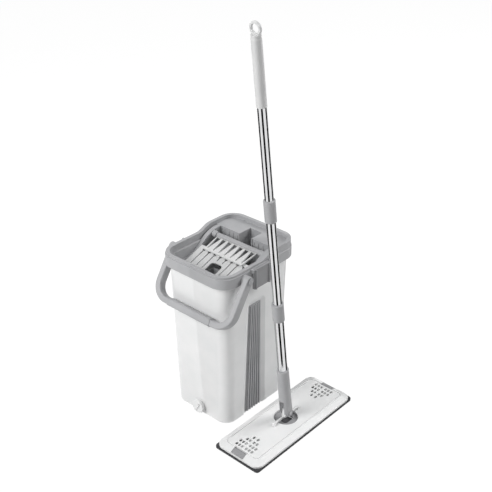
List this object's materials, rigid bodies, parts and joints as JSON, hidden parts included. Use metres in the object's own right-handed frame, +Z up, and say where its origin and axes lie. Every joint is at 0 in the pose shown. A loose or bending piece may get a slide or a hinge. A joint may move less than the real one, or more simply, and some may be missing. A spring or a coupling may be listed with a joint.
{
  "type": "flat mop and bucket with wringer",
  "caption": "Flat mop with a vented swivel head and steel pole, beside a tall bucket with a lift-out wringer insert, squeeze comb and swinging handle.",
  "frame": {"origin": "middle of the flat underside of the bucket, on the floor", "axes": "+Z up, -Y the bucket's front with the drain plug, +X the side where the mop stands with its head along Y"},
  "size_m": [0.3768, 0.358, 0.9949],
  "materials": {
    "white_plastic": "moulded polypropylene, satin",
    "grey_plastic": "moulded polypropylene, satin",
    "light_grey_plastic": "moulded polypropylene, satin",
    "dark_grey_plastic": "moulded polypropylene, satin",
    "seal_rubber": "moulded rubber",
    "steel": "drawn wire",
    "polished_steel": "polished stainless tube",
    "microfibre": "looped microfibre",
    "hook_tape": "hook tape"
  },
  "bodies": {
    "bucket": {"bucket_tub": "white_plastic", "bucket_collar": "grey_plastic", "side_panel_right": "dark_grey_plastic", "side_panel_left": "dark_grey_plastic", "clip_pins": "steel", "handle_pins": "grey_plastic"},
    "plug": {"drain_plug": "white_plastic", "drain_seal": "seal_rubber"},
    "clip_right": {"clip_right": "grey_plastic"},
    "clip_left": {"clip_left": "grey_plastic"},
    "handle": {"handle_bail": "grey_plastic", "handle_grip": "grey_plastic"},
    "wringer": {"wringer_frame": "grey_plastic", "ramp_grate": "light_grey_plastic"},
    "comb": {"squeeze_comb": "light_grey_plastic"},
    "mop_head": {"mop_pad": "microfibre", "hook_strips": "hook_tape", "mop_plate": "white_plastic", "swivel_seat": "grey_plastic", "tab_pins": "steel"},
    "tab_near": {"tab_near": "grey_plastic"},
    "tab_far": {"tab_far": "grey_plastic"},
    "swivel": {"swivel_cross": "white_plastic"},
    "pole": {"fork_pin": "steel", "ferrule": "grey_plastic", "tube_lower": "polished_steel", "tube_middle": "polished_steel", "tube_upper": "polished_steel", "coupling_lower": "grey_plastic", "coupling_upper": "grey_plastic", "screw_plugs": "grey_plastic", "pole_grip": "light_grey_plastic", "hang_cap": "white_plastic"}
  },
  "joints": [
    {"name": "plug_pull", "type": "slide", "parent": "bucket", "child": "plug", "axis": [0, -1, 0], "range_m": [0, 0.03]},
    {"name": "clip_right_swing", "type": "hinge", "parent": "bucket", "child": "clip_right", "pos_m": [0.1094, -0.009, 0.413], "axis": [0, -1, 0], "range_deg": [0, 18]},
    {"name": "clip_left_swing", "type": "hinge", "parent": "bucket", "child": "clip_left", "pos_m": [-0.1094, -0.009, 0.413], "axis": [0, 1, 0], "range_deg": [0, 18]},
    {"name": "handle_swing", "type": "hinge", "parent": "bucket", "child": "handle", "pos_m": [0, -0.064, 0.402], "axis": [-1, 0, 0], "range_deg": [0, 170]},
    {"name": "insert_lift", "type": "slide", "parent": "bucket", "child": "wringer", "axis": [0, 0, 1], "range_m": [0, 0.3]},
    {"name": "comb_lift", "type": "hinge", "parent": "wringer", "child": "comb", "pos_m": [0, 0.033, 0.413], "axis": [-1, 0, 0], "range_deg": [0, 70]},
    {"name": "mop_lift", "type": "slide", "parent": "bucket", "child": "mop_head", "axis": [0, 0, 1], "range_m": [0, 0.27]},
    {"name": "tab_near_flip", "type": "hinge", "parent": "mop_head", "child": "tab_near", "pos_m": [0.183, -0.159, 0.0146], "axis": [-1, 0, 0], "range_deg": [0, 75]},
    {"name": "tab_far_flip", "type": "hinge", "parent": "mop_head", "child": "tab_far", "pos_m": [0.183, 0.159, 0.0146], "axis": [1, 0, 0], "range_deg": [0, 75]},
    {"name": "head_tilt", "type": "hinge", "parent": "mop_head", "child": "swivel", "pos_m": [0.183, 0, 0.025], "axis": [0, 1, 0], "range_deg": [-4, 52]},
    {"name": "head_fold", "type": "hinge", "parent": "swivel", "child": "pole", "pos_m": [0.183, 0, 0.0395], "axis": [1, 0, 0], "range_deg": [-89, 74]}
  ]
}
